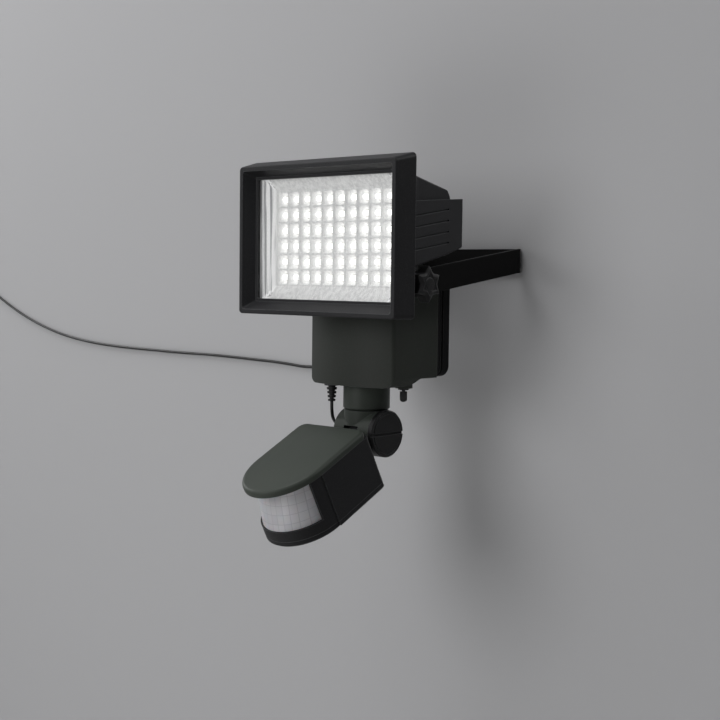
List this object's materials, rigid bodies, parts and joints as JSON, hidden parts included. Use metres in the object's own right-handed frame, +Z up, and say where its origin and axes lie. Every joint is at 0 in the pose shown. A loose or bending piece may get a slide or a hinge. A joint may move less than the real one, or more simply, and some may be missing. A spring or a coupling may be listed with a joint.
{
  "type": "solar floodlight with motion sensor",
  "caption": "Wall-mounted solar floodlight: LED head on a U bracket, battery box below, hinged motion sensor and a thin lead to the panel.",
  "frame": {"origin": "middle of the bracket's back face, between its two wall holes", "axes": "+Z up, the lamp faces -Y, +X to the right of someone who faces the lamp"},
  "size_m": [1.0111, 0.2552, 0.3335],
  "materials": {
    "lamp_shell": "fine textured dark grey",
    "bracket_paint": "satin black powder coat",
    "knob_plastic": "satin moulded dark grey",
    "steel": "bright plated",
    "black_steel": "blackened",
    "brass_insert": "turned",
    "rubber": "matt black",
    "clear_lens": "clear",
    "reflector_white": "white, moulded glossy",
    "board_green": "solder mask",
    "board_white": "white solder mask",
    "led_resin": "clear moulded resin",
    "cell_jacket": "shrink sleeve",
    "holder_plastic": "moulded",
    "component_plastic": "moulded",
    "white_plastic": "translucent white",
    "cord_rubber": "satin black"
  },
  "bodies": {
    "bracket": {"wall_bracket": "bracket_paint", "cord_plug_run": "cord_rubber", "cord_coil": "cord_rubber", "coil_tie": "holder_plastic", "cord_wall_run": "cord_rubber", "line_connector": "cord_rubber", "cable_clip": "white_plastic", "steel_washers": "steel"},
    "lamp": {"pivot_bolts": "steel", "rubber_washers": "rubber", "bezel": "lamp_shell", "front_lens": "clear_lens", "lens_gasket": "rubber", "reflector": "reflector_white", "led_board": "board_white", "leds": "led_resin", "bezel_screws": "steel", "lamp_housing": "lamp_shell", "battery_box": "lamp_shell", "box_gasket": "rubber", "box_rear_cover": "lamp_shell", "box_cover_screws": "steel", "battery_cells": "cell_jacket", "battery_holder": "holder_plastic", "battery_links": "steel", "control_board": "board_green", "board_components": "component_plastic", "switch_body": "component_plastic", "switch_nut": "black_steel", "charging_jack": "component_plastic", "jack_nut": "steel", "plug_barrel": "steel", "plug_strain_relief": "rubber", "neck_collar": "lamp_shell"},
    "right_clamp": {"right_side_knob": "knob_plastic", "right_knob_insert": "brass_insert"},
    "left_clamp": {"left_side_knob": "knob_plastic", "left_knob_insert": "brass_insert"},
    "switch_lever": {"toggle_lever": "steel", "toggle_boot": "rubber"},
    "sensor_neck": {"knuckle": "lamp_shell", "neck_retainer": "holder_plastic", "tilt_nut": "steel"},
    "tilt_clamp": {"tilt_screw": "knob_plastic"},
    "sensor_head": {"friction_washers": "rubber", "sensor_top_cover": "lamp_shell", "sensor_body": "lamp_shell", "sensor_bottom_cover": "lamp_shell", "sensor_screws": "steel", "sensor_lens": "white_plastic", "sensor_board": "board_green", "pyro_sensor": "steel", "potentiometers": "component_plastic"},
    "time_setting": {"time_dial": "knob_plastic"},
    "light_setting": {"light_dial": "knob_plastic"},
    "range_setting": {"range_dial": "knob_plastic"}
  },
  "joints": [
    {"name": "lamp_tilt", "type": "hinge", "parent": "bracket", "child": "lamp", "pos_m": [0, -0.151, -0.0214], "axis": [1, 0, 0], "range_deg": [-35, 30], "deforming": ["cord_plug_run"]},
    {"name": "right_knob_turn", "type": "hinge", "parent": "lamp", "child": "right_clamp", "pos_m": [0.09, -0.151, -0.0214], "axis": [1, 0, 0], "continuous": true},
    {"name": "left_knob_turn", "type": "hinge", "parent": "lamp", "child": "left_clamp", "pos_m": [-0.09, -0.151, -0.0214], "axis": [1, 0, 0], "continuous": true},
    {"name": "mode_toggle", "type": "hinge", "parent": "lamp", "child": "switch_lever", "pos_m": [0.038, -0.111, -0.1125], "axis": [0, 1, 0], "range_deg": [-12, 12]},
    {"name": "sensor_pan", "type": "hinge", "parent": "lamp", "child": "sensor_neck", "pos_m": [0, -0.1184, -0.1562], "axis": [0, 0, 1], "range_deg": [-45, 45]},
    {"name": "sensor_tilt", "type": "hinge", "parent": "sensor_neck", "child": "sensor_head", "pos_m": [0, -0.1184, -0.1562], "axis": [1, 0, 0], "range_deg": [-25, 35]},
    {"name": "tilt_screw_turn", "type": "hinge", "parent": "sensor_neck", "child": "tilt_clamp", "pos_m": [0.0213, -0.1184, -0.1562], "axis": [1, 0, 0], "continuous": true},
    {"name": "time_dial_turn", "type": "hinge", "parent": "sensor_head", "child": "time_setting", "pos_m": [-0.019, -0.16602, -0.21694], "axis": [0, -0.454, 0.891], "range_deg": [-135, 135]},
    {"name": "light_dial_turn", "type": "hinge", "parent": "sensor_head", "child": "light_setting", "pos_m": [0, -0.16602, -0.21694], "axis": [0, -0.454, 0.891], "range_deg": [-135, 135]},
    {"name": "range_dial_turn", "type": "hinge", "parent": "sensor_head", "child": "range_setting", "pos_m": [0.019, -0.16602, -0.21694], "axis": [0, -0.454, 0.891], "range_deg": [-135, 135]}
  ]
}
